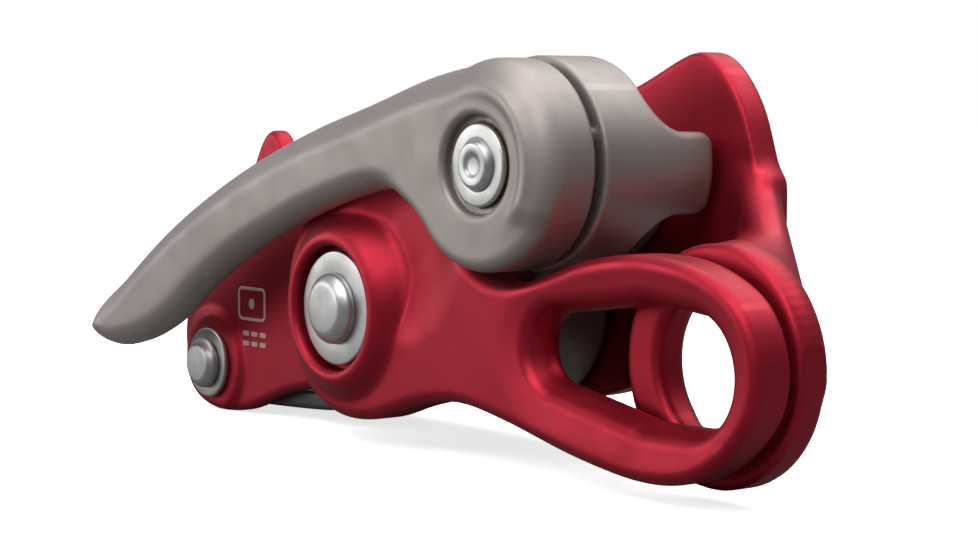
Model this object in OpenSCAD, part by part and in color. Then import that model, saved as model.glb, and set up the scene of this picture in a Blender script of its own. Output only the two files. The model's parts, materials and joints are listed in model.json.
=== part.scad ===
// Assisted-braking belay device: two side plates, a pinching cam, a release handle
// and a swinging front plate. The frame hangs in the connector eye of the rear plate:
// +X points out of the eye end, +Y from the front plate to the rear plate, +Z up.
// Inside the modules, positions are measured from the main axle on the plane of its washer.

/* [Layout] */
// Distance from the main axle to the connector eye, along X
eye_x = 56.5; // [54:0.5:58]
// Height of the main axle above the connector eye
eye_drop = 2.5; // [1.5:0.5:3.5]
// Radius of the round connector eye in the rear plate
eye_r = 8; // [7:0.5:8.5]
// Distance from the main axle to the handle pin, along X
pin_x = 30.2; // [29.8:0.2:30.6]
// Height of the handle pin above the main axle
pin_z = 17.5; // [17.2:0.1:17.8]

/* [Plates] */
// Thickness of the rear plate
rear_t = 4; // [3.5:0.5:4.5]
// Thickness of the swinging front plate
front_t = 5; // [4.5:0.1:5]
// Thickness of the fixed front cheek
cheek_t = 3; // [2.5:0.1:3]
// Clear width of the rope channel between cheek and rear plate
channel_w = 13.1; // [13.1:0.1:14]

/* [Moving parts] */
// Radius of the handle's round end
lobe_r = 11.5; // [11:0.1:11.6]
// Radius of the cam's front disc
disc_r = 11.8; // [11.2:0.1:12]
// Radius of the main axle's shaft
axle_r = 4; // [3.6:0.1:4.1]
// Radial clearance of every running fit
fit = 0.05; // [0.02:0.01:0.08]

/* [Hidden] */
$fn = 64;

// Levels along Y, from the front face of the main washer
front_face = 1;
front_back = front_face + front_t;
crest = -1;
seat = 1.6;
cheek_front = 6.4;
cheek_back = cheek_front + cheek_t;
panel_front = cheek_back + channel_w;
panel_back = panel_front + rear_t;
pad_front = front_back + 1.2;
pad_back = pad_front + rear_t;
handle_front = -3;
arm_back = 0.8;
lobe_back = 4.8;
disc_front = 6;
disc_back = 13.5;
bed_front = cheek_back + 0.2;
bed_back = panel_front - 0.5;
tab_back = panel_front - 1;

eye = [eye_x, -eye_drop];
pin = [pin_x, pin_z];
shoe_pin = [-38.7, -10.2];
post = [-25.5, 13.8];
nose = [-17, 4.6];
nose_r = 5.5;
bed = [12.3, 0.6];
bed_r = 11.6;
hub_r = 9.5;
bush_r = axle_r + 1.2;
boss_r = 10.6;
counterbore_r = 7.5;
pad_r = 12.5;
pin_r = 3;
rivet_r = 2.5;
post_r = 1.6;
stop_r = 1;
dowel = [-31.5, -13.4];
// Swing of the cam from rest to full pinch, and of the handle from folded to open
cam_swing = 20;
handle_swing = 120;
// The stop pins sit this far around their slots, in degrees from +X
cam_stop_at = 200;
handle_stop_at = 20;
cam_stop_r = 7.1;
handle_stop_r = 9.4;
cam_stop = cam_stop_r * [cos(cam_stop_at), sin(cam_stop_at)];
handle_stop = pin + handle_stop_r * [cos(handle_stop_at), sin(handle_stop_at)];

// Point t of the way from b to c on a smooth curve through a, b, c and d
function curve_point(a, b, c, d, t) =
    0.5 * (2 * b + (c - a) * t + (2 * a - 5 * b + 4 * c - d) * t * t
        + (3 * b - a - 3 * c + d) * t * t * t);
// Closed smooth outline through the given points
function smooth_loop(p, steps = 6) = let (n = len(p))
    [for (i = [0:n - 1], j = [0:steps - 1])
        curve_point(p[(i + n - 1) % n], p[i], p[(i + 1) % n], p[(i + 2) % n], j / steps)];
// Points of an arc, angles in degrees from +X
function arc(c, r, from, to, steps = 12) =
    [for (i = [0:steps]) let (a = from + (to - from) * i / steps) c + r * [cos(a), sin(a)]];

// Moves the axle's own coordinates into the frame of the connector eye
module place() {
    translate([-eye_x, -(pad_front + pad_back) / 2, eye_drop]) children();
}
// Extrudes an outline drawn in X and Z from y0 back to y1
module slab(y0, y1) {
    translate([0, y1, 0]) rotate([90, 0, 0]) linear_extrude(y1 - y0) children();
}
// Round bar along Y, centred on the point c of X and Z
module rod(c, r, y0, y1) {
    translate([c[0], y1, c[1]]) rotate([90, 0, 0]) cylinder(r = r, h = y1 - y0);
}
// Round bar that tapers from r0 at y0 to r1 at y1
module taper(c, r0, y0, r1, y1) {
    translate([c[0], y1, c[1]]) rotate([90, 0, 0]) cylinder(r1 = r1, r2 = r0, h = y1 - y0);
}
// Flat ring along Y
module ring(c, inner, outer, y0, y1) {
    difference() {
        rod(c, outer, y0, y1);
        rod(c, inner, y0 - 1, y1 + 1);
    }
}
// Sector of a flat ring around c, for a stop pin that runs at radius r
module arc_slot(c, r, from, sweep, y0, depth) {
    translate([c[0], y0 + depth, c[1]]) rotate([90, 0, 0]) rotate([0, 0, from])
        rotate_extrude(angle = sweep) translate([r - stop_r - 0.15, 0])
            square([2 * stop_r + 0.3, depth]);
}
// Wire coil around a Y axis through c
module coil(c, r, wire, turns, y0, y1) {
    sides = 8;
    steps = 20 * turns;
    points = [for (i = [0:steps], k = [0:sides - 1])
        let (a = 360 * turns * i / steps, s = 360 * k / sides,
            rr = r + wire * cos(s), y = y0 + (y1 - y0) * i / steps + wire * sin(s))
        [c[0] + rr * cos(a), y, c[1] + rr * sin(a)]];
    sidewalls = [for (i = [0:steps - 1], k = [0:sides - 1])
        let (b = i * sides, n = (k + 1) % sides)
        [b + k, b + n, b + sides + n, b + sides + k]];
    start = [for (k = [sides - 1:-1:0]) k];
    end = [for (k = [0:sides - 1]) steps * sides + k];
    polyhedron(points, concat([start], sidewalls, [end]), convexity = 8);
}

// Outline of the rear plate's flat panel, with the tall rope flange at its right
module panel_outline() {
    polygon(smooth_loop([[-46, -9], [-41, -15.6], [-30, -15], [-14, -12.6], [2, -12.6],
        [16, -11], [25, -9.2], [29.6, -6.8], [30.8, -2], [32.2, 2.6], [37, 6.4], [43.5, 7.6],
        [48, 9.6], [48.3, 13.8], [47.1, 18], [45.2, 23.4], [42.4, 27.4], [39.4, 29.5],
        [36, 29.4], [26, 25.4], [8, 20], [-8, 16.5], [-18, 17.4], [-24, 19],
        [-29, 16.6], [-38, 6]], 4));
}
module rear_plate() {
    color("crimson") place() difference() {
        union() {
            slab(panel_front, panel_back) panel_outline();
            rod(eye, pad_r, pad_front, pad_back);
            flange_web();
            eye_web();
        }
        rod([0, 0], axle_r + fit / 2, panel_front - 1, panel_back + 1);
        rod(shoe_pin, rivet_r, panel_front - 1, panel_back + 1);
        rod(post, post_r, panel_front - 1, panel_back + 1);
        rod(eye, eye_r, pad_front - 5, panel_back + 5);
        rod(cam_stop, stop_r, panel_front - 1, panel_back + 1);
    }
}
// Slanted web from the eye pad up to the rope flange
module flange_web() {
    hull() {
        translate([43.2, panel_front, 9.4]) cube([5, rear_t, 7]);
        intersection() {
            rod(eye, pad_r, pad_front, pad_back);
            translate([46, pad_front, 5.6]) cube([24, rear_t, 6]);
        }
    }
}

// Slanted web from the eye pad's left side back to the panel
module eye_web() {
    hull() {
        translate([27.4, panel_front, -6]) cube([3.4, rear_t, 8]);
        intersection() {
            rod(eye, pad_r, pad_front, pad_back);
            translate([40, pad_front, -8]) cube([6.6, rear_t, 11]);
        }
    }
}

// Left front cheek that carries the shoe, with a rounded rope horn on top
module front_cheek() {
    color("crimson") place() difference() {
        slab(cheek_front, cheek_back) polygon(smooth_loop([[-46.4, -10.5], [-43.2, -14.8],
            [-37.6, -16.4], [-31, -15.8], [-22, -12.8], [-10, -10.6], [0, -10.6], [8, -7],
            [10.4, 0], [7.6, 7], [0, 10.6], [-12, 12.4], [-19.4, 14.6], [-22.4, 19.2],
            [-24.6, 20.8], [-27, 19.6], [-30.4, 14.6], [-38, 7], [-46, -3]], 5));
        rod([0, 0], axle_r + fit / 2, cheek_front - 1, cheek_back + 1);
        rod(shoe_pin, rivet_r, cheek_front - 1, cheek_back + 1);
        rod(post, post_r, cheek_front - 1, cheek_back + 1);
    }
}

// Curved liner between the plates that the cam squeezes the rope against
module friction_shoe() {
    color("dimgray") place() difference() {
        slab(cheek_back + 0.05, panel_front - 0.05) polygon(smooth_loop([[-43.4, -11],
            [-41, -14.8], [-36, -15.3], [-26, -15.1], [-14, -14.4], [-11.6, -13.2],
            [-14, -12.3], [-24, -12.3], [-32, -11.6], [-35.6, -8.4], [-39, -6.9],
            [-42.2, -8]], 5));
        rod(shoe_pin, rivet_r, cheek_back - 1, panel_front + 1);
        rod(dowel, 1, cheek_back - 1, panel_front + 1);
    }
}
module shoe_rivet() {
    color("silver") place() {
        taper(shoe_pin, 2.6, cheek_front - 2.4, 3.3, cheek_front - 0.8);
        rod(shoe_pin, rivet_r, cheek_front - 0.8, panel_back);
        rod(shoe_pin, 3.8, panel_back, panel_back + 1.4);
    }
}
module shoe_rivet_washer() {
    color("silver") place() ring(shoe_pin, rivet_r, 4.6, cheek_front - 0.8, cheek_front);
}
// Small dowel that keeps the shoe from turning
module shoe_dowel() {
    color("silver") place() rod(dowel, 1, cheek_back + 0.05, panel_front - 0.05);
}
// Tube that spaces cheek and rear plate at the rope horn
module guide_post() {
    color("crimson") place() ring(post, post_r, 3, cheek_back, panel_front);
}
module guide_rivet() {
    color("silver") place() {
        rod(post, 2.6, cheek_front - 0.9, cheek_front);
        rod(post, post_r, cheek_front, panel_back);
        rod(post, 2.6, panel_back, panel_back + 0.9);
    }
}

// Riveted axle that holds the plates and carries the cam and the front plate
module main_axle() {
    color("silver") place() {
        taper([0, 0], 3.3, -1.8, 4.3, 0);
        rod([0, 0], axle_r, 0, panel_back + 1.1);
        taper([0, 0], 5.4, panel_back + 1.1, 4.2, panel_back + 2.4);
    }
}
module main_washer() {
    color("silver") place() ring([0, 0], axle_r, 6.8, 0, 1.2);
}
module wave_washer() {
    color("gray") place() ring([0, 0], axle_r + 0.3, 6.3, 1.25, 1.5);
}
module thrust_washer() {
    color("goldenrod") place() ring([0, 0], axle_r + fit, 8, front_back + 0.05, cheek_front - 0.05);
}
module rear_washer() {
    color("silver") place() ring([0, 0], axle_r, 7.2, panel_back, panel_back + 1.1);
}

// Pin in the rear plate that runs in the cam's arc slot and limits its swing
module cam_stop_pin() {
    color("silver") place()
        rod(cam_stop, stop_r, panel_front - 2.6, panel_back);
}
module cam_spring() {
    color("gray") place() coil([0, 0], 7, 0.42, 3, bed_front + 0.75, bed_front + 3.3);
}

// Outline of the cam behind its disc: hub, pinching nose and rope bed
module cam_bed_outline() {
    polygon(concat(arc(nose, nose_r, 118, 262), arc([0, 0], hub_r, 240, 262, 4),
        arc(bed, bed_r, 250, 372), arc([pin_x - 3.2, pin_z - 5.5], 6, -20, 110, 6),
        arc([0, 0], hub_r, 100, 112, 3)));
}
// Forged cam with a front disc for the handle and a tab for the thumb
module cam() {
    color("darkgray") place() difference() {
        union() {
            slab(bed_front, bed_back) cam_bed_outline();
            rod(pin, disc_r, disc_front, disc_back);
            thumb_tab();
        }
        rod([0, 0], bush_r, bed_front - 1, bed_back + 1);
        ring([0, 0], bush_r + 0.9, 8, bed_front - 1, bed_front + 4.2);
        rod(pin, pin_r, disc_front - 1, bed_back + 1);
        rod(handle_stop, stop_r, disc_front - 1, disc_front + 3);
        arc_slot([0, 0], cam_stop_r, cam_stop_at - cam_swing - 9.5, cam_swing + 19, bed_back - 2.4, 3.4);
        rope_groove();
        insert_seat();
    }
}
// Rim sector of the disc that reaches back across the rope channel
module thumb_tab() {
    slab(disc_back - 1, tab_back) intersection() {
        difference() {
            translate(pin) circle(disc_r);
            translate(pin) circle(disc_r - 4.5);
        }
        translate([pin_x, pin_z - 5.5]) square([20, 9]);
    }
}
// Round-bottomed groove that the rope lies in, around the lower right of the cam
module rope_groove() {
    translate([bed[0], (bed_front + bed_back) / 2, bed[1]]) rotate([90, 0, 0])
        rotate([0, 0, 262]) rotate_extrude(angle = 98)
            translate([bed_r + 4.5, 0]) circle(6);
}
// Pocket in the nose for the hard insert
module insert_seat() {
    slab(bed_front - 1, bed_back + 1) intersection() {
        difference() {
            translate(nose) circle(nose_r + 1);
            translate(nose) circle(nose_r - 1.4);
        }
        translate(nose + [-7, -7]) square([11, 6]);
    }
}
module cam_bush() {
    color("goldenrod") place() ring([0, 0], axle_r + fit, bush_r, bed_front, bed_back);
}
// Hard steel shell that grips the rope at the nose
module cam_insert() {
    color("gainsboro") place() slab(bed_front + 0.3, bed_back - 0.3) intersection() {
        difference() {
            translate(nose) circle(nose_r);
            translate(nose) circle(nose_r - 1.35);
        }
        translate(nose + [-6.95, -7]) square([10.9, 5.95]);
    }
}

// Pin riveted into the cam, with a dimpled head, that the handle turns on
module handle_pin() {
    color("silver") place() difference() {
        union() {
            taper(pin, 2.3, -3, 2.8, -2.2);
            rod(pin, pin_r - 0.2, -2.2, disc_front);
            rod(pin, pin_r, disc_front, disc_back + 1);
        }
        taper(pin, 1.5, -3.1, 0.5, -2.5);
    }
}
module handle_pin_washer() {
    color("silver") place() ring(pin, pin_r - 0.2, 4.5, -2.2, -1.5);
}
// Pin in the cam's disc that runs in the handle's arc slot and limits its swing
module handle_stop_pin() {
    color("silver") place() rod(handle_stop, stop_r, lobe_back - 1.8, disc_front + 3);
}
module handle_spring() {
    color("gray") place() coil(pin, 6.2, 0.42, 2, lobe_back - 2.4, lobe_back - 0.7);
}

// Long curved release lever with a thick round end
module handle_outline() {
    polygon(smooth_loop(concat([[-56.6, -6.2], [-54.6, -7.9], [-50, -8.4], [-45, -7.6],
        [-40, -6.2], [-34, -3.6], [-26.6, 1], [-16, 6.2], [-4, 10.6], [6, 13.4], [13, 14.4],
        [18, 12.8], [21.4, 10.2]], arc(pin, lobe_r - 0.4, 232, 450, 9),
        [[20, 27.3], [8, 24.2], [-5, 20.9], [-20, 15.9], [-35, 9.2], [-47, 2.1],
        [-54.4, -3]]), 4));
}
module handle() {
    color("rosybrown") place() difference() {
        union() {
            slab(handle_front, arm_back) handle_outline();
            rod(pin, lobe_r, handle_front, lobe_back);
        }
        rod(pin, 4.4, handle_front - 1, lobe_back + 1);
        rod(pin, 5.4, handle_front - 1, -1.4);
        ring(pin, 5.2, 7.2, lobe_back - 2.9, lobe_back + 1);
        arc_slot(pin, handle_stop_r, handle_stop_at - 7, handle_swing + 14, lobe_back - 2.1, 3);
    }
}
module handle_bush() {
    color("goldenrod") place() ring(pin, pin_r - 0.2 + fit, 4.4, -1.4, lobe_back);
}

// Swinging plate: washer boss at its left end, waist, and long connector ring
module front_outline() {
    polygon(smooth_loop([[-12.3, -1], [-9.6, -8.6], [-3, -12.7], [5, -12.9], [13, -10.6],
        [21, -9.2], [30, -10.4], [42, -13], [53, -14.3], [61, -12.8], [67.6, -7.4],
        [69.2, -1.4], [66.6, 4.6], [60, 8], [52, 8.9], [44, 8], [37, 6], [31, 4.6],
        [25.4, 5.5], [20.6, 9.2], [16, 14], [10, 16.6], [2, 16.4], [-6, 13], [-11.4, 6]], 4));
}
// Hollow right of the boss, which leaves room for the folded handle
module pocket_outline() {
    difference() {
        polygon([[-16, 4], [0, -4], [14, -4.4], [20.4, -2], [21, 8], [20, 20], [-16, 20]]);
        circle(boss_r + 0.2);
    }
}
module connector_opening(grow) {
    hull() {
        translate([eye_x + 2.2, -2.6]) circle(5.6 + grow, $fn = 32);
        translate([eye_x - 4, -2.3]) circle(6 + grow, $fn = 32);
        translate([eye_x - 18, -1.9]) circle(3.9 + grow, $fn = 32);
    }
}
module front_plate() {
    color("firebrick") place() difference() {
        union() {
            slab(front_face, front_back) front_outline();
            taper([0, 0], boss_r - 0.8, crest, boss_r, front_face + 0.5);
        }
        slab(crest - 1, 3) pocket_outline();
        rod([0, 0], counterbore_r, crest - 1, seat);
        rod([0, 0], bush_r, crest - 1, front_back + 1);
        slab(front_face - 1, front_back + 1) connector_opening(0);
        hull() {
            slab(front_face - 0.1, front_face) connector_opening(1.4);
            slab(front_face + 3, front_face + 3.1) connector_opening(-0.2);
        }
    }
}
module plate_bush() {
    color("goldenrod") place() ring([0, 0], axle_r + fit, bush_r, seat, front_back);
}

rear_plate();
front_cheek();
friction_shoe();
shoe_rivet();
shoe_rivet_washer();
shoe_dowel();
guide_post();
guide_rivet();
main_axle();
main_washer();
rear_washer();
thrust_washer();
wave_washer();
cam_stop_pin();
cam_spring();
cam();
cam_bush();
cam_insert();
handle_pin();
handle_pin_washer();
handle_stop_pin();
handle_spring();
handle();
handle_bush();
front_plate();
plate_bush();
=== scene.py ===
"""Looks for the belay device: forged red plates, a satin grey handle and cam, turned steel rivets.

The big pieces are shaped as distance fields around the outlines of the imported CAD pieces, and then
meshed, so that every edge is rounded and every step is filleted like a forging. Fields work in
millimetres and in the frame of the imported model; meshes are written in metres.
"""

import json
import math

import bmesh
import bpy
import numpy as np
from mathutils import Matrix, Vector


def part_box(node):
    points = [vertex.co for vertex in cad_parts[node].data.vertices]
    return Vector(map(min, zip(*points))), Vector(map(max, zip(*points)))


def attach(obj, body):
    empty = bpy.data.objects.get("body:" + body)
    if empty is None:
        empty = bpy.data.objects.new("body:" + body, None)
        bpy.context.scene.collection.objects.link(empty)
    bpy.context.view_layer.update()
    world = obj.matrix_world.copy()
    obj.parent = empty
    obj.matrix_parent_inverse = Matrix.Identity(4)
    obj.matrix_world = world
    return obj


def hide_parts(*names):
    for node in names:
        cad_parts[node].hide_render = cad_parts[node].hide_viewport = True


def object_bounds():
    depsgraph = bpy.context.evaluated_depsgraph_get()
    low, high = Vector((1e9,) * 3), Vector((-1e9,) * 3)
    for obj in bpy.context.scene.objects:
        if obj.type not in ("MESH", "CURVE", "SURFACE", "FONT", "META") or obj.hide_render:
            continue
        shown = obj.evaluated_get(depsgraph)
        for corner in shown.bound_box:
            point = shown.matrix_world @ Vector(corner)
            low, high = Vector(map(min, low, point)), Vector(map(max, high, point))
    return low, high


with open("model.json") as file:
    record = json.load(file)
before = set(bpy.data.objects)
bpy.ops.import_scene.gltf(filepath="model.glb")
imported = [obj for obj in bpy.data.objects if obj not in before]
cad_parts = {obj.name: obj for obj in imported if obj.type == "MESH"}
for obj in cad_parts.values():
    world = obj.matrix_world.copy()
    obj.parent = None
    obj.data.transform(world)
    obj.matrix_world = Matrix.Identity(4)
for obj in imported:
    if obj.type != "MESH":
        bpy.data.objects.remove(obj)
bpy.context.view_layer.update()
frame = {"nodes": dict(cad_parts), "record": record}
MM = 0.001


# ---------------------------------------------------------------- places read from the frame

def box_mm(node):
    """Lowest and highest corner of a CAD node, in millimetres."""
    low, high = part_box(node)
    return np.array(low) / MM, np.array(high) / MM


def levels(node):
    """Front and back Y level of a CAD node."""
    low, high = box_mm(node)
    return low[1], high[1]


def centre_xz(node):
    """X and Z of a CAD node's middle."""
    low, high = box_mm(node)
    return ((low + high) / 2)[[0, 2]]


AXLE = centre_xz("main_axle")
PIN = centre_xz("handle_pin")
POST = centre_xz("guide_post")
SHOE_PIN = centre_xz("shoe_rivet")
EYE = np.zeros(2)

# Radii of the shafts and of the bushes that run on them.
AXLE_R = 4.0
AXLE_BUSH_R = 5.2
PIN_R = 3.0
PIN_NECK_R = 2.8
PIN_BUSH_R = 4.4
RIVET_R = 2.5
POST_HOLE_R = 1.6

# Thicknesses along Y, and how far the arm and the tab end before the piece they belong to.
FRONT_PLATE_T = 5
REAR_PLATE_T = 4
DISC_T = 7.5
ARM_STEP = 4
TAB_STEP = 0.5

PLATE_CREST, PLATE_BACK = levels("front_plate")
PLATE_FACE = PLATE_BACK - FRONT_PLATE_T
COUNTERBORE_FLOOR, _ = levels("plate_bush")
HANDLE_FRONT, LOBE_BACK = levels("handle")
ARM_BACK = LOBE_BACK - ARM_STEP
DISC_FRONT, _ = levels("cam")
DISC_BACK = DISC_FRONT + DISC_T
BED_FRONT, BED_BACK = levels("cam_bush")
TAB_BACK = BED_BACK - TAB_STEP
CHEEK_FRONT, CHEEK_BACK = levels("front_cheek")
PAD_FRONT, PANEL_BACK = levels("rear_plate")
PAD_BACK = PAD_FRONT + REAR_PLATE_T
PANEL_FRONT = PANEL_BACK - REAR_PLATE_T


# ---------------------------------------------------------------- outlines cut from CAD pieces

def section(node, y):
    """Closed outlines, longest first, of a CAD node cut by the plane at y."""
    mesh = frame["nodes"][node].data
    mesh.calc_loop_triangles()
    points = np.array([v.co for v in mesh.vertices]) / MM
    height = points[:, 1] - y
    links = {}
    for triangle in mesh.loop_triangles:
        corners = list(triangle.vertices)
        ends = []
        for a, b in zip(corners, corners[1:] + corners[:1]):
            if (height[a] < 0) != (height[b] < 0):
                t = height[a] / (height[a] - height[b])
                p = points[a] + t * (points[b] - points[a])
                ends.append((round(p[0], 3), round(p[2], 3)))
        if len(ends) == 2 and ends[0] != ends[1]:
            links.setdefault(ends[0], set()).add(ends[1])
            links.setdefault(ends[1], set()).add(ends[0])
    loops = []
    while links:
        loop = [next(iter(links))]
        while True:
            ahead = links.pop(loop[-1], set()) - set(loop[-2:-1])
            ahead = [p for p in ahead if p in links]
            if not ahead:
                break
            loop.append(ahead[0])
        if len(loop) > 2:
            loops.append(np.array(loop))
    return sorted(loops, key=perimeter, reverse=True)


def perimeter(loop):
    """Length of a closed outline."""
    return np.linalg.norm(loop - np.roll(loop, -1, 0), axis=1).sum()


def softened(loop, width, step=0.4):
    """The closed outline in even steps, with its corners drawn round over the given width."""
    ring = np.vstack([loop, loop[:1]])
    along = np.r_[0, np.cumsum(np.linalg.norm(np.diff(ring, axis=0), axis=1))]
    count = int(along[-1] / step)
    at = np.linspace(0, along[-1], count, endpoint=False)
    even = np.stack([np.interp(at, along, ring[:, k]) for k in (0, 1)], 1)
    reach = int(3 * width / step)
    weight = np.exp(-0.5 * (np.arange(-reach, reach + 1) * step / width) ** 2)
    weight /= weight.sum()
    return sum(w * np.roll(even, k - reach, 0) for k, w in enumerate(weight))


def flat_field(loop, margin=4.0, step=0.2):
    """Signed distance to a closed outline as a function of x and z, negative inside."""
    low = loop.min(0) - margin
    count = ((loop.max(0) + margin - low) / step).astype(int) + 2
    x = low[0] + step * np.arange(count[0])[:, None]
    z = low[1] + step * np.arange(count[1])[None, :]
    nearest = np.full(count, 1e9)
    inside = np.zeros(count, bool)
    for (ax, az), (bx, bz) in zip(loop, np.roll(loop, -1, 0)):
        dx, dz = bx - ax, bz - az
        t = np.clip(((x - ax) * dx + (z - az) * dz) / (dx * dx + dz * dz), 0, 1)
        nearest = np.minimum(nearest, (x - ax - t * dx) ** 2 + (z - az - t * dz) ** 2)
        if az != bz:
            inside ^= ((az > z) != (bz > z)) & (x < ax + (z - az) / dz * dx)
    table = np.sqrt(nearest) * np.where(inside, -1, 1)
    last = count - 1.001  # just inside the last cell

    def field(x, z):
        u = np.clip((x - low[0]) / step, 0, last[0])
        w = np.clip((z - low[1]) / step, 0, last[1])
        i, k = u.astype(int), w.astype(int)
        u, w = u - i, w - k
        return (table[i, k] * (1 - u) * (1 - w) + table[i + 1, k] * u * (1 - w)
                + table[i, k + 1] * (1 - u) * w + table[i + 1, k + 1] * u * w)

    return field


def outline(node, y, soft):
    """Flat field of a CAD node's outer outline at one Y level, with its corners drawn round."""
    return flat_field(softened(section(node, y)[0], soft))


# ---------------------------------------------------------------- distance fields

def cut(a, b, r):
    """What lies in both fields, with the edge between them rounded to radius r."""
    return np.minimum(-r, np.maximum(a, b)) + np.hypot(np.maximum(a + r, 0), np.maximum(b + r, 0))


def join(a, b, r):
    """What lies in either field, with a fillet of radius r between them."""
    return -cut(-a, -b, r)


def rod(x, z, centre, radius):
    """Round bar along Y."""
    return np.hypot(x - centre[0], z - centre[1]) - radius


def span(y, front, back):
    """The layer between two Y levels."""
    return np.maximum(front - y, y - back)


def layer(flat, y, front, back, front_r, back_r):
    """An outline stretched from front to back, with rounded edges."""
    return cut(cut(flat, front - y, front_r), y - back, back_r)


def bored(body, x, y, z, centre, radius, front=-np.inf, back=np.inf, r=0.1):
    """The body with a round hole from front to back, whose edges are rounded to radius r."""
    return cut(body, -np.maximum(rod(x, z, centre, radius), span(y, front, back)), r)


def capsule(x, z, a, ra, b, rb):
    """Tapered slot between two circles."""
    dx, dz = b[0] - a[0], b[1] - a[1]
    t = np.clip(((x - a[0]) * dx + (z - a[1]) * dz) / (dx * dx + dz * dz), 0, 1)
    return np.hypot(x - a[0] - t * dx, z - a[1] - t * dz) - (ra + t * (rb - ra))


def bar(x, y, z, a, b, radius):
    """Round bar between two points in space."""
    along = b - a
    t = ((x - a[0]) * along[0] + (y - a[1]) * along[1] + (z - a[2]) * along[2]) / (along @ along)
    t = np.clip(t, 0, 1)
    return np.sqrt((x - a[0] - t * along[0]) ** 2 + (y - a[1] - t * along[1]) ** 2
                   + (z - a[2] - t * along[2]) ** 2) - radius


def soft_min(a, b, width):
    """The smaller of two levels, with the crease between them smoothed over the given width."""
    t = np.clip(0.5 + 0.5 * (b - a) / width, 0, 1)
    return b + (a - b) * t - width * t * (1 - t)


def ramp(low, high, value):
    """Smooth rise from 0 at low to 1 at high."""
    t = np.clip((value - low) / (high - low), 0, 1)
    return t * t * (3 - 2 * t)


def above(height, x, y, z, nudge=0.05):
    """Signed distance in front of a surface whose Y level is height(x, z)."""
    level = height(x, z)
    gx = (height(x + nudge, z) - level) / nudge
    gz = (height(x, z + nudge) - level) / nudge
    return (level - y) / np.sqrt(1 + gx * gx + gz * gz)


# ---------------------------------------------------------------- meshing

def corner(values, i, j, k):
    """The grid of values shifted to one corner of every cell."""
    n = values.shape
    return values[i:n[0] - 1 + i, j:n[1] - 1 + j, k:n[2] - 1 + k]


CORNERS = [(i, j, k) for i in (0, 1) for j in (0, 1) for k in (0, 1)]
CELL_EDGES = [(a, b) for a in CORNERS for b in CORNERS if sum(b) - sum(a) == 1
              and all(q >= p for p, q in zip(a, b))]


def crossings(values, cells):
    """Middle of the points where the surface crosses each cell's edges, in grid steps."""
    total = np.zeros((len(cells), 3))
    hits = np.zeros(len(cells))
    for a, b in CELL_EDGES:
        va, vb = values[tuple((cells + a).T)], values[tuple((cells + b).T)]
        crossed = (va < 0) != (vb < 0)
        t = np.where(crossed, va / np.where(crossed, va - vb, 1), 0)[:, None]
        total += np.where(crossed[:, None], np.array(a) + t * (np.array(b) - np.array(a)), 0)
        hits += crossed
    return cells + total / hits[:, None]


def net_quads(inside, index):
    """A quad of cell points around every grid edge that the surface crosses, facing outwards."""
    quads = []
    for axis in range(3):
        ahead, u, w = np.roll(np.eye(3, dtype=int), -axis, axis=0)
        near = inside[tuple(slice(0, n - d) for n, d in zip(inside.shape, ahead))]
        far = inside[tuple(slice(d, n) for n, d in zip(inside.shape, ahead))]
        for start, flip in ((near & ~far, False), (~near & far, True)):
            at = np.argwhere(start)
            ring = np.stack([index[tuple((at - s).T)] for s in (0 * u, u, u + w, w)], 1)
            quads.append(ring[:, ::-1] if flip else ring)
    return np.vstack(quads)


def surface_net(field, low, high, step):
    """Points and quads of the surface where the field is zero."""
    count = np.ceil((high - low) / step).astype(int) + 1
    x, y, z = (low[k] + step * np.arange(count[k]) for k in range(3))
    grid = field(x[:, None, None], y[None, :, None], z[None, None, :])
    values = np.broadcast_to(grid, tuple(count))
    inside = values < 0
    filled = sum(corner(inside, *c).astype(np.int8) for c in CORNERS)
    cells = np.argwhere((filled > 0) & (filled < 8))
    index = np.full(filled.shape, -1)
    index[tuple(cells.T)] = np.arange(len(cells))
    return low + step * crossings(values, cells), net_quads(inside, index)


def settled(field, points, rounds=3, nudge=0.02, most=0.2, least_slope=0.2):
    """The points moved onto the surface where the field is zero, by no more than most a round."""
    for _ in range(rounds):
        x, y, z = points.T
        value = field(x, y, z)
        slope = np.stack([field(x + nudge, y, z), field(x, y + nudge, z),
                          field(x, y, z + nudge)], 1) - value[:, None]
        slope /= nudge
        size = np.maximum((slope ** 2).sum(1), least_slope)
        points = points - np.clip(value / size, -most, most)[:, None] * slope
    return points


def mesh_object(name, points, faces):
    """A smooth-shaded object from points in millimetres."""
    mesh = bpy.data.meshes.new(name)
    mesh.from_pydata((points * MM).tolist(), [], faces.tolist())
    mesh.polygons.foreach_set("use_smooth", [True] * len(mesh.polygons))
    mesh.update()
    made = bpy.data.objects.new(name, mesh)
    bpy.context.scene.collection.objects.link(made)
    return made


def stand_in(made, node, body, material):
    """Gives a finished object its material and shows it in place of a CAD node."""
    made.data.materials.append(material)
    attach(made, body)
    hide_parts(node)
    return made


def forged(name, node, body, field, material, step=0.4):
    """Meshes a field inside its CAD node's box and shows it in place of the node."""
    low, high = box_mm(node)
    points, quads = surface_net(field, low - 1.5 * step, high + 1.5 * step, step)
    points = settled(field, points)
    made = mesh_object(name, np.clip(points, low, high), quads)
    return stand_in(made, node, body, material)


def rounded(corners, radius, steps=4, most=0.45):
    """The open outline with every inner corner drawn round, over at most this share of a side."""
    corners = np.array(corners, float)
    out = [corners[0]]
    for before, at, after in zip(corners, corners[1:], corners[2:]):
        ends = []
        for other in (before, after):
            reach = np.linalg.norm(other - at)
            ends.append(at + (other - at) * min(most, radius / reach))
        for t in np.linspace(0, 1, steps + 1):
            out.append((1 - t) ** 2 * ends[0] + 2 * t * (1 - t) * at + t * t * ends[1])
    return out + [corners[-1]]


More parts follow.
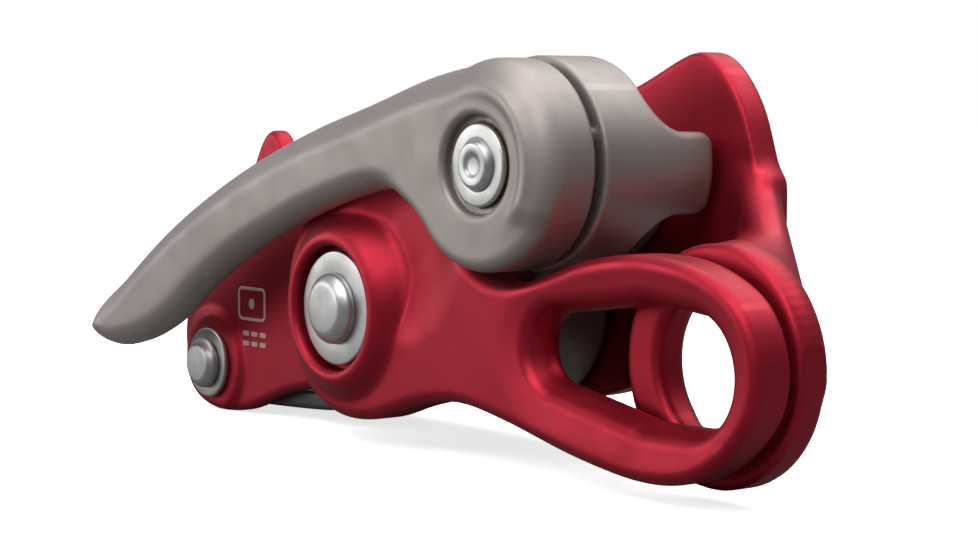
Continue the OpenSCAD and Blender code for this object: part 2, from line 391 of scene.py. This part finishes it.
def turned(node, body, corners, radius, centre, material, segments=96):
    """A solid of revolution along Y with this rounded outline of (radius, y), for a CAD node."""
    profile = rounded(corners, radius)
    turn = 2 * np.pi * np.arange(segments) / segments
    ring = np.stack([np.cos(turn), np.zeros(segments), np.sin(turn)], 1)
    points = np.vstack([ring * r + [centre[0], y, centre[1]] for r, y in profile])
    faces = [[i * segments + k, i * segments + (k + 1) % segments,
              (i + 1) * segments + (k + 1) % segments, (i + 1) * segments + k]
             for i in range(len(profile) - 1) for k in range(segments)]
    made = mesh_object(node + "_turned", points, np.array(faces))
    mesh = bmesh.new()
    mesh.from_mesh(made.data)
    bmesh.ops.remove_doubles(mesh, verts=mesh.verts, dist=1e-7)
    bmesh.ops.recalc_face_normals(mesh, faces=mesh.faces)
    mesh.to_mesh(made.data)
    mesh.free()
    return stand_in(made, node, body, material)


def washer(node, body, inner, centre, material):
    """A flat ring that fills its CAD node's box around a hole."""
    low, high = box_mm(node)
    outer = (high[0] - low[0]) / 2
    front, back = low[1], high[1]
    middle = (front + back) / 2
    corners = [(inner, middle), (inner, front), (outer, front), (outer, back), (inner, back),
               (inner, middle)]
    return turned(node, body, corners, 0.3, centre, material)


# ---------------------------------------------------------------- materials

# Features per metre of each noise, and depths of the bumps in metres.
DRIFT_SCALE = 60
BLOTCH_SCALE = 240
GRAIN_SCALE = 5200
GRAIN_DEPTH = 0.00002
SMUDGE_SCALE = 300
RING_SCALE = 2600
RING_DEPTH = 0.00003


def nodes_of(name):
    """A new material with its node tree, its shader and an object-space coordinate."""
    material = bpy.data.materials.new(name)
    material.use_nodes = True
    tree = material.node_tree
    shader = tree.nodes["Principled BSDF"]
    place = tree.nodes.new("ShaderNodeTexCoord").outputs["Object"]
    return material, tree, shader, place


def noise(tree, place, scale, detail=4.0):
    """Noise over a place; scale is in features per metre."""
    made = tree.nodes.new("ShaderNodeTexNoise")
    made.inputs["Scale"].default_value = scale
    made.inputs["Detail"].default_value = detail
    tree.links.new(place, made.inputs["Vector"])
    return made.outputs["Fac"]


def spread(tree, value, low, high, out_low, out_high):
    """Maps a value from one range to another."""
    made = tree.nodes.new("ShaderNodeMapRange")
    for k, bound in enumerate((low, high, out_low, out_high)):
        made.inputs[k + 1].default_value = bound
    tree.links.new(value, made.inputs[0])
    return made.outputs[0]


def mixed(tree, factor, first, second):
    """Mixes two colours, each a tuple or a socket."""
    made = tree.nodes.new("ShaderNodeMix")
    made.data_type = "RGBA"
    tree.links.new(factor, made.inputs["Factor"])
    for socket, colour in ((made.inputs[6], first), (made.inputs[7], second)):
        if isinstance(colour, tuple):
            socket.default_value = (*colour, 1)
        else:
            tree.links.new(colour, socket)
    return made.outputs[2]


def bumped(tree, shader, height, strength, distance):
    """Feeds a height into the shader's normal."""
    made = tree.nodes.new("ShaderNodeBump")
    made.inputs["Strength"].default_value = strength
    made.inputs["Distance"].default_value = distance
    tree.links.new(height, made.inputs["Height"])
    tree.links.new(made.outputs["Normal"], shader.inputs["Normal"])


def satin(name, colour, deep, worn, metallic, rough):
    """Bead-blasted metal with a fine grain, soft colour drift and lighter worn edges."""
    material, tree, shader, place = nodes_of(name)
    drift = spread(tree, noise(tree, place, DRIFT_SCALE, 3), 0.35, 0.65, 0, 1)
    grain = noise(tree, place, GRAIN_SCALE, 2)
    body = mixed(tree, drift, colour, deep)
    pointed = tree.nodes.new("ShaderNodeNewGeometry").outputs["Pointiness"]
    edge = spread(tree, pointed, 0.54, 0.62, 0, 0.35)
    tree.links.new(mixed(tree, edge, body, worn), shader.inputs["Base Color"])
    shader.inputs["Metallic"].default_value = metallic
    blotch = noise(tree, place, BLOTCH_SCALE, 5)
    tree.links.new(spread(tree, blotch, 0.3, 0.7, rough - 0.05, rough + 0.07),
                   shader.inputs["Roughness"])
    bumped(tree, shader, grain, 0.35, GRAIN_DEPTH)
    return material


def machined(name, colour, rough, centre):
    """Turned metal with fine concentric tool marks around a centre."""
    material, tree, shader, place = nodes_of(name)
    shift = tree.nodes.new("ShaderNodeVectorMath")
    shift.operation = "SUBTRACT"
    shift.inputs[1].default_value = (centre[0] * MM, 0, centre[1] * MM)
    tree.links.new(place, shift.inputs[0])
    flat = tree.nodes.new("ShaderNodeVectorMath")
    flat.operation = "MULTIPLY"
    flat.inputs[1].default_value = (1, 0, 1)
    tree.links.new(shift.outputs[0], flat.inputs[0])
    length = tree.nodes.new("ShaderNodeVectorMath")
    length.operation = "LENGTH"
    tree.links.new(flat.outputs[0], length.inputs[0])
    radius = tree.nodes.new("ShaderNodeCombineXYZ")
    tree.links.new(length.outputs["Value"], radius.inputs[0])
    rings = noise(tree, radius.outputs[0], RING_SCALE, 3)
    smudge = noise(tree, place, SMUDGE_SCALE, 4)
    darker = tuple(0.72 * c for c in colour)
    tree.links.new(mixed(tree, spread(tree, smudge, 0.35, 0.7, 0, 1), colour, darker),
                   shader.inputs["Base Color"])
    shader.inputs["Metallic"].default_value = 1.0
    tree.links.new(spread(tree, smudge, 0.3, 0.7, rough, rough + 0.1), shader.inputs["Roughness"])
    bumped(tree, shader, rings, 0.25, RING_DEPTH)
    return material


RED = satin("anodised_red", colour=(0.42, 0.015, 0.035), deep=(0.36, 0.011, 0.028),
            worn=(0.6, 0.05, 0.07), metallic=0.8, rough=0.42)
GREY = satin("satin_warm_grey", colour=(0.35, 0.31, 0.295), deep=(0.31, 0.275, 0.26),
             worn=(0.5, 0.46, 0.44), metallic=0.7, rough=0.48)
DARK = satin("satin_dark_grey", colour=(0.11, 0.11, 0.115), deep=(0.08, 0.08, 0.085),
             worn=(0.25, 0.25, 0.25), metallic=0.7, rough=0.45)
PRINT = satin("pale_print", colour=(0.55, 0.4, 0.4), deep=(0.5, 0.34, 0.34),
              worn=(0.6, 0.5, 0.5), metallic=0.0, rough=0.6)


def steel(centre):
    """Turned steel for a washer or a rivet head around this centre."""
    return machined("turned_steel", (0.6, 0.6, 0.59), 0.33, centre)


def bronze(centre):
    """Plain bearing bronze around this centre."""
    return machined("bearing_bronze", (0.55, 0.36, 0.16), 0.35, centre)


# ---------------------------------------------------------------- front plate

# Centres and radii of the three circles that the opening is stretched around.
OPENING_RIGHT, OPENING_RIGHT_R = np.array([2.2, -0.1]), 5.6
OPENING_MIDDLE, OPENING_MIDDLE_R = np.array([-4, 0.2]), 6
OPENING_LEFT, OPENING_LEFT_R = np.array([-18, 0.6]), 3.9
# How much wider the opening is at the face, and how deep into the plate that flare runs.
FUNNEL = 1.5
FUNNEL_DEPTH = 3.2
COUNTERBORE_R = 7.5
# The boss falls by this much between two distances from the axle.
BOSS_FALL = 5
BOSS_SLOPE = (8.2, 14)
# The hollow right of the boss and the dish around the opening; each slope is a start and an end.
HOLLOW = AXLE + (11, 9)
HOLLOW_DEPTH = 1.8
HOLLOW_SLOPE = (3, 13)
DISH_DEPTH = 0.5
DISH_SLOPE = (0.5, 5.5)


def connector_opening(x, z):
    """Drop-shaped opening, negative inside."""
    right = capsule(x, z, OPENING_RIGHT, OPENING_RIGHT_R, OPENING_MIDDLE, OPENING_MIDDLE_R)
    left = capsule(x, z, OPENING_MIDDLE, OPENING_MIDDLE_R, OPENING_LEFT, OPENING_LEFT_R)
    return np.minimum(right, left)


def front_plate_face(x, z):
    """Y level of the front plate's face: boss, hollow and dish."""
    boss = PLATE_CREST + BOSS_FALL * ramp(*BOSS_SLOPE, rod(x, z, AXLE, 0))
    hollow = 1 - ramp(*HOLLOW_SLOPE, rod(x, z, HOLLOW, 0))
    dish = 1 - ramp(*DISH_SLOPE, connector_opening(x, z))
    ground = PLATE_FACE + HOLLOW_DEPTH * hollow + DISH_DEPTH * dish
    return soft_min(ground, boss, 0.9)


def front_plate():
    """Swinging plate: ring boss, soft hollow, waist and a long flared connector opening."""
    outer = outline("front_plate", PLATE_BACK - 0.4, 1.0)
    face_round, back_round, opening_round, counterbore_round = 1.4, 0.5, 0.8, 0.6

    def field(x, y, z):
        inward = 1 - (y - PLATE_FACE) / FUNNEL_DEPTH
        flare = -FUNNEL * soft_min(-inward, 0 * inward, 0.3)
        body = cut(outer(x, z), above(front_plate_face, x, y, z), face_round)
        body = cut(body, y - PLATE_BACK, back_round)
        body = cut(body, flare - connector_opening(x, z), opening_round)
        body = bored(body, x, y, z, AXLE, COUNTERBORE_R, back=COUNTERBORE_FLOOR,
                     r=counterbore_round)
        return bored(body, x, y, z, AXLE, AXLE_BUSH_R)

    return forged("front_plate_forged", "front_plate", "swing_plate", field, RED,
                  0.35)


# ---------------------------------------------------------------- handle

LOBE_R = 11.5
TIP_X = box_mm("handle")[0][0]
# The seat deepens from left to right across the pin, and ends at a rim above a leaning line.
SEAT_DEPTH = 0.7
SEAT_SLOPE = (-7, 7)
SEAT_RIM = (6.8, 8.8)
SEAT_LINE = (-5, -2)
SEAT_LEAN = 0.25
PIN_COUNTERBORE_R = 5.4
PIN_COUNTERBORE_FLOOR = HANDLE_FRONT + 1.6
# Each bevel has a slope, a width and a softness. The top one fades in behind the tip, and the
# low one fades in along the arm with distance from the pin.
TOP_BEVEL = (0.7, 3.4, 0.7)
LOW_BEVEL = (0.6, 2.2, 0.5)
TIP_FADE = (1, 9)
ARM_START = (12, 20)


def seat(x, z):
    """How deep the seat around the handle pin lies."""
    across, up = x - PIN[0], z - PIN[1]
    rim = ramp(*SEAT_RIM, rod(x, z, PIN, 0)) * ramp(*SEAT_LINE, up + SEAT_LEAN * across)
    return SEAT_DEPTH * ramp(*SEAT_SLOPE, across) * (1 - rim)


def bevel(edge, slope, width, softness):
    """A bevel at this signed distance from the outline: zero inside, below zero near the edge."""
    return slope * soft_min(-edge - width, 0 * edge, softness)


def handle():
    """Release lever: flat face, broad round along its edges, a shallow seat around the pin."""
    outer = outline("handle", HANDLE_FRONT + 1, 0.5)
    face_round, arm_round, lobe_round, bore_round = 1.5, 0.9, 0.4, 0.6
    nudge, sideways = 0.3, 0.6

    def face(x, z):
        edge = outer(x, z)
        facing = (outer(x + nudge, z) - edge) * sideways + (outer(x, z + nudge) - edge)
        top = ramp(-nudge, nudge, facing) * ramp(*TIP_FADE, x - TIP_X)
        arm = ramp(*ARM_START, rod(x, z, PIN, 0))
        slope = top * bevel(edge, *TOP_BEVEL) + arm * (1 - top) * bevel(edge, *LOW_BEVEL)
        return HANDLE_FRONT + seat(x, z) - slope

    def field(x, y, z):
        lobe = cut(rod(x, z, PIN, LOBE_R), y - LOBE_BACK, lobe_round)
        arm = cut(outer(x, z), y - ARM_BACK, arm_round)
        body = cut(np.minimum(arm, lobe), above(face, x, y, z), face_round)
        body = bored(body, x, y, z, PIN, PIN_COUNTERBORE_R, back=PIN_COUNTERBORE_FLOOR,
                     r=bore_round)
        return bored(body, x, y, z, PIN, PIN_BUSH_R)

    return forged("handle_forged", "handle", "handle", field, GREY, 0.35)


# ---------------------------------------------------------------- cam

DISC_R = 11.8
RIM_T = 4.2
TAB_Z = PIN[1] - 1
TAB_HALF = 4.5
TAB_FILLET = 4.5
TAB_LEFT = PIN[0] + 1
TAB_ROOT = DISC_FRONT + 2


def cam():
    """Cam: round front disc whose rim runs back into a thumb tab, rope bed and nose."""
    bed = outline("cam", BED_BACK - 0.2, 0.5)
    bed_round, bed_fillet, bore_round = 0.5, 1.2, 0.2

    def tab(x, y, z, rim):
        end = cut(np.abs(z - TAB_Z) - TAB_HALF, y - TAB_BACK, 1.4)
        shell = cut(rim, join(y - DISC_BACK, end, TAB_FILLET), 0.7)
        shell = np.maximum(shell, np.maximum(-rim - RIM_T, TAB_LEFT - x))
        return np.maximum(shell, TAB_ROOT - y)

    def field(x, y, z):
        rim = rod(x, z, PIN, DISC_R)
        disc = cut(cut(rim, DISC_FRONT - y, 0.5), y - DISC_BACK, 1.2)
        back = layer(bed(x, z), y, BED_FRONT, BED_BACK, bed_round, bed_round)
        body = join(np.minimum(disc, tab(x, y, z, rim)), back, bed_fillet)
        body = bored(body, x, y, z, AXLE, AXLE_BUSH_R, r=bore_round)
        return bored(body, x, y, z, PIN, PIN_R, r=bore_round)

    return forged("cam_forged", "cam", "cam", field, GREY, 0.4)


# ---------------------------------------------------------------- rear plate, cheek and shoe

PAD_R = 12.5
EYE_R = 8
FLANGE_EDGE = AXLE[0] + 45.3
LEFT_WEB_X = AXLE[0] + 29
WEB_RIBS = 17
# Each web runs between two heights on the panel and two angles on the eye's rim, in degrees.
RIGHT_WEB = {"heights": (18, 11), "turns": (-2, 78)}
LEFT_WEB = {"heights": (4, -4.5), "turns": (140, 216)}


def web(x, y, z, edge, heights, turns):
    """Web of close ribs from the eye's rim back to a line of points on the panel at x = edge."""
    half = REAR_PLATE_T / 2
    reach = PAD_R - half
    on_panel = np.linspace(*heights, WEB_RIBS)
    on_rim = np.radians(np.linspace(*turns, WEB_RIBS))
    whole = None
    for height, turn in zip(on_panel, on_rim):
        foot = np.array([reach * math.cos(turn), PAD_FRONT + half, reach * math.sin(turn)])
        head = np.array([edge, PANEL_BACK - half, height])
        rib = bar(x, y, z, foot, head, half)
        whole = rib if whole is None else join(whole, rib, 0.5)
    return whole


def rear_plate():
    """Rear plate: flat panel with the rope flange, and a raised connector eye on a web."""
    panel = outline("rear_plate", PANEL_BACK - 0.3, 0.8)
    face_round, rim_round, eye_round = 0.6, 0.8, 1.2

    def field(x, y, z):
        flat = layer(panel(x, z), y, PANEL_FRONT, PANEL_BACK, face_round, rim_round)
        pad = layer(rod(x, z, EYE, PAD_R), y, PAD_FRONT, PAD_BACK, rim_round, rim_round)
        right = web(x, y, z, FLANGE_EDGE, **RIGHT_WEB)
        left = web(x, y, z, LEFT_WEB_X, **LEFT_WEB)
        body = join(join(np.minimum(flat, pad), right, 1.5), left, 2)
        body = cut(cut(body, PAD_FRONT - y, face_round), y - PANEL_BACK, face_round)
        body = cut(body, -rod(x, z, EYE, EYE_R), eye_round)
        return bored(body, x, y, z, AXLE, AXLE_R)

    return forged("rear_plate_forged", "rear_plate", "frame", field, RED, 0.4)


CHEEK_STEP = 0.7
CHEEK_BOSS = (6, 7.8)


def front_cheek():
    """Left cheek with the rope horn and a low boss around the shoe rivet."""
    outer = outline("front_cheek", CHEEK_BACK - 1, 0.8)
    face_round, back_round = 0.9, 0.4

    def face(x, z):
        return CHEEK_FRONT + CHEEK_STEP * ramp(*CHEEK_BOSS, rod(x, z, SHOE_PIN, 0))

    def field(x, y, z):
        body = cut(outer(x, z), above(face, x, y, z), face_round)
        body = cut(body, y - CHEEK_BACK, back_round)
        return bored(body, x, y, z, AXLE, AXLE_R)

    return forged("front_cheek_forged", "front_cheek", "frame", field, RED, 0.35)


# The shoe stays this far clear of the cheek and of the rear panel.
SHOE_GAP = 0.05


def friction_shoe():
    """Liner the rope is squeezed against."""
    outer = outline("friction_shoe", CHEEK_BACK + 3, 0.4)
    front, back = CHEEK_BACK + SHOE_GAP, PANEL_FRONT - SHOE_GAP

    def field(x, y, z):
        return layer(outer(x, z), y, front, back, 0.5, 0.5)

    return forged("friction_shoe_cast", "friction_shoe", "frame", field, DARK, 0.4)


# ---------------------------------------------------------------- printed marks

# The print stands a little proud of the cheek's face, and reaches a little into it.
PRINT_FACE = CHEEK_FRONT + CHEEK_STEP
PRINT_T = 0.06
PRINT_SINK = 0.05
PRINT_GRID = 0.1
BADGE_AT = AXLE + (-29.6, -1.9)
BADGE_HALF = (3.1, 2)
BADGE_LINE = 0.22
DOT_R = 0.7
BARS_AT = BADGE_AT + (-1.4, -3.9)
BAR_HALF = (0.7, 0.35)
BAR_PITCH = (2, 1.3)


def rounded_box(x, z, at, half, r):
    """Rectangle with round corners, negative inside."""
    dx = np.abs(x - at[0]) - half[0] + r
    dz = np.abs(z - at[1]) - half[1] + r
    return np.hypot(np.maximum(dx, 0), np.maximum(dz, 0)) + np.minimum(np.maximum(dx, dz), 0) - r


def badge(x, z):
    """A rounded frame with a dot."""
    border = np.abs(rounded_box(x, z, BADGE_AT, BADGE_HALF, 0.7)) - BADGE_LINE
    return np.minimum(border, rod(x, z, BADGE_AT, DOT_R))


def bars(x, z):
    """Two rows of three short bars."""
    rows = [rounded_box(x, z, BARS_AT + (BAR_PITCH[0] * k, -BAR_PITCH[1] * row), BAR_HALF, 0.1)
            for k in range(3) for row in range(2)]
    return np.minimum.reduce(rows)


def printed(name, mark, low, high):
    """A thin printed mark on the cheek's face, meshed between two corners given as (x, z)."""
    front, back = PRINT_FACE - PRINT_T, PRINT_FACE + PRINT_SINK

    def field(x, y, z):
        return np.maximum(mark(x, z) + 0 * y, span(y, front, back))

    margin = 0.3
    least = np.array([low[0], front, low[1]]) - margin
    most = np.array([high[0], PRINT_FACE + PRINT_GRID, high[1]]) + margin
    points, quads = surface_net(field, least, most, PRINT_GRID)
    made = mesh_object(name, points, quads)
    made.data.materials.append(PRINT)
    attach(made, "frame")
    return made


def marks():
    """Generic printed marks: a rounded frame with a dot, and two rows of short bars."""
    printed("cheek_badge", badge, BADGE_AT - (4, 3), BADGE_AT + (4, 3))
    printed("cheek_bars", bars, BADGE_AT - (3, 6.4), BADGE_AT + (4.5, -3))


# ---------------------------------------------------------------- turned pieces

def main_axle():
    """Axle with a domed front head and a riveted back head."""
    front, back = levels("main_axle")
    dome_r, head_r, head_t = 3.1, 4.2, 1.8
    rivet_r, rivet_t = 5.4, 1.3
    corners = [(0, front - 0.05), (dome_r, front), (head_r, front + head_t / 2),
               (head_r, front + head_t), (AXLE_R, front + head_t + 0.1), (AXLE_R, back - rivet_t),
               (rivet_r, back - rivet_t), (head_r, back), (0, back)]
    return turned("main_axle", "frame", corners, 0.5, AXLE, steel(AXLE))


def handle_pin():
    """Handle pin with a dimpled head."""
    front, back = levels("handle_pin")
    dimple_r, dimple_depth, rim_r = 1, 0.35, 2.4
    corners = [(0, front + dimple_depth + 0.05), (dimple_r, front + dimple_depth),
               (dimple_r + 0.4, front + 0.05), (rim_r, front), (PIN_NECK_R, front + 0.7),
               (PIN_NECK_R, DISC_FRONT), (PIN_R, DISC_FRONT + 0.1), (PIN_R, back), (0, back)]
    return turned("handle_pin", "cam", corners, 0.35, PIN, steel(PIN))


def shoe_rivet():
    """Rivet of the friction shoe, with a bevelled front head."""
    front, back = levels("shoe_rivet")
    head_r, head_t = 3.3, 1.6
    tail_r, tail_t = 3.8, 1.4
    corners = [(0, front), (RIVET_R, front), (head_r, front + head_t / 2), (head_r, front + head_t),
               (RIVET_R, front + head_t), (RIVET_R, back - tail_t), (tail_r, back - tail_t),
               (head_r, back), (0, back)]
    return turned("shoe_rivet", "frame", corners, 0.4, SHOE_PIN, steel(SHOE_PIN))


def guide_rivet():
    """Rivet through the rope guide's spacer tube."""
    front, back = levels("guide_rivet")
    head_r, head_t = 2.6, 0.9
    corners = [(0, front), (head_r, front), (head_r, front + head_t), (POST_HOLE_R, front + head_t),
               (POST_HOLE_R, back - head_t), (head_r, back - head_t), (head_r, back), (0, back)]
    return turned("guide_rivet", "frame", corners, 0.5, POST, steel(POST))


front_plate()
handle()
cam()
rear_plate()
front_cheek()
marks()
friction_shoe()
main_axle()
handle_pin()
shoe_rivet()
guide_rivet()
washer("main_washer", "frame", AXLE_R, AXLE, steel(AXLE))
washer("rear_washer", "frame", AXLE_R, AXLE, steel(AXLE))
washer("handle_pin_washer", "cam", PIN_NECK_R, PIN, steel(PIN))
washer("shoe_rivet_washer", "frame", RIVET_R, SHOE_PIN, steel(SHOE_PIN))
washer("guide_post", "frame", POST_HOLE_R, POST, RED)


# ---------------------------------------------------------------- finishes of the other pieces

CENTRES = {"shoe_rivet": SHOE_PIN, "shoe_rivet_washer": SHOE_PIN, "guide_rivet": POST,
           "handle_pin": PIN, "handle_pin_washer": PIN, "handle_bush": PIN, "handle_stop_pin": PIN}
SLOT_LOOKS = {"red_anodised": RED, "warm_grey": GREY, "dark_grey": DARK}


def finish(part):
    """Gives a CAD node the material of its slot, turned around the shaft that it sits on."""
    slot, name = part["material_slot"], part["node"]
    middle = CENTRES.get(name, AXLE)
    look = SLOT_LOOKS.get(slot) or (bronze(middle) if slot == "bronze" else steel(middle))
    item = frame["nodes"][name]
    item.data.materials.clear()
    item.data.materials.append(look)


for subpart in frame["record"]["subparts"]:
    finish(subpart)


# ---------------------------------------------------------------- floor, light and camera

CAMERA_AIM = Vector((-38.75, 0, 7.04)) * MM
CAMERA_DISTANCE = 264.98 * MM
CAMERA_TURN = math.radians(52)
CAMERA_DOWN = math.radians(4.2)
CAMERA_LENS = 85.4
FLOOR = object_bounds()[0].z
FLOOR_HALF = 3.0
FLOOR_GLOW = 0.74
LIT_MIDDLE = (-45, 5, 5)
# Each soft box has a name, a place in millimetres, a width and height, and a power in watts.
SOFT_BOXES = (("key", (30, -230, 330), (420, 380), 1.3),
              ("front", (-360, -300, 60), (420, 300), 0.8),
              ("top", (-20, 140, 350), (460, 420), 1.3))


def split_by_ray(tree, lit, seen):
    """Mixes two shaders: one that lights and reflects, and one that the camera sees."""
    path = tree.nodes.new("ShaderNodeLightPath")
    blend = tree.nodes.new("ShaderNodeMixShader")
    tree.links.new(path.outputs["Is Camera Ray"], blend.inputs[0])
    tree.links.new(lit, blend.inputs[1])
    tree.links.new(seen, blend.inputs[2])
    return blend.outputs[0]


def paper():
    """Plain pale floor: white to the camera apart from soft shadows, dim in the reflections."""
    material, tree, shader, place = nodes_of("paper")
    tone = spread(tree, noise(tree, place, 40, 3), 0, 1, 0.0, 1.0)
    tree.links.new(mixed(tree, tone, (0.17, 0.17, 0.17), (0.2, 0.2, 0.2)),
                   shader.inputs["Base Color"])
    shader.inputs["Specular IOR Level"].default_value = 0.0
    seen = tree.nodes.new("ShaderNodeBsdfDiffuse")
    tree.links.new(mixed(tree, tone, (0.93, 0.93, 0.93), (0.97, 0.97, 0.97)), seen.inputs["Color"])
    glow = tree.nodes.new("ShaderNodeEmission")
    glow.inputs["Strength"].default_value = FLOOR_GLOW
    both = tree.nodes.new("ShaderNodeAddShader")
    tree.links.new(seen.outputs[0], both.inputs[0])
    tree.links.new(glow.outputs[0], both.inputs[1])
    tree.links.new(split_by_ray(tree, shader.outputs[0], both.outputs[0]),
                   tree.nodes["Material Output"].inputs["Surface"])
    return material


def floor():
    """Wide sheet the object stands on."""
    far = FLOOR_HALF
    mesh = bpy.data.meshes.new("floor")
    corners = [(-far, -far, FLOOR), (far, -far, FLOOR), (far, far, FLOOR), (-far, far, FLOOR)]
    mesh.from_pydata(corners, [], [(0, 1, 2, 3)])
    sheet = bpy.data.objects.new("floor", mesh)
    bpy.context.scene.collection.objects.link(sheet)
    sheet.data.materials.append(paper())


def camera():
    """Long lens, low at the right of the device's front, so that the eye end comes nearest."""
    data = bpy.data.cameras.new("camera")
    data.lens = CAMERA_LENS
    data.sensor_width = 36
    data.clip_start = 0.01
    made = bpy.data.objects.new("camera", data)
    bpy.context.scene.collection.objects.link(made)
    level = CAMERA_DISTANCE * math.cos(CAMERA_DOWN)
    away = (level * math.sin(CAMERA_TURN), -level * math.cos(CAMERA_TURN),
            CAMERA_DISTANCE * math.sin(CAMERA_DOWN))
    made.location = CAMERA_AIM + Vector(away)
    made.rotation_euler = (math.pi / 2 - CAMERA_DOWN, 0, CAMERA_TURN)
    bpy.context.scene.camera = made


def soft_box(name, at, size, power):
    """A rectangular area light that faces the object's middle."""
    data = bpy.data.lights.new(name, "AREA")
    data.shape = "RECTANGLE"
    data.size, data.size_y = size[0] * MM, size[1] * MM
    data.energy = power
    made = bpy.data.objects.new(name, data)
    bpy.context.scene.collection.objects.link(made)
    made.location = Vector(at) * MM
    aim = Vector(LIT_MIDDLE) - Vector(at)
    made.rotation_euler = aim.to_track_quat("-Z", "Y").to_euler()


def surroundings():
    """White backdrop for the camera, and a dim gradient sky for the reflections."""
    world = bpy.data.worlds.new("studio")
    bpy.context.scene.world = world
    world.use_nodes = True
    tree = world.node_tree
    seen = tree.nodes["Background"]
    seen.inputs["Color"].default_value = (1, 1, 1, 1)
    lit = tree.nodes.new("ShaderNodeBackground")
    height = tree.nodes.new("ShaderNodeSeparateXYZ")
    tree.links.new(tree.nodes.new("ShaderNodeTexCoord").outputs["Generated"], height.inputs[0])
    tree.links.new(spread(tree, height.outputs[2], -0.1, 0.8, 0.08, 0.5), lit.inputs["Strength"])
    lit.inputs["Color"].default_value = (0.95, 0.97, 1.0, 1)
    tree.links.new(split_by_ray(tree, lit.outputs[0], seen.outputs[0]),
                   tree.nodes["World Output"].inputs["Surface"])


floor()
camera()
surroundings()
for soft in SOFT_BOXES:
    soft_box(*soft)
bpy.context.scene.view_settings.view_transform = "Standard"
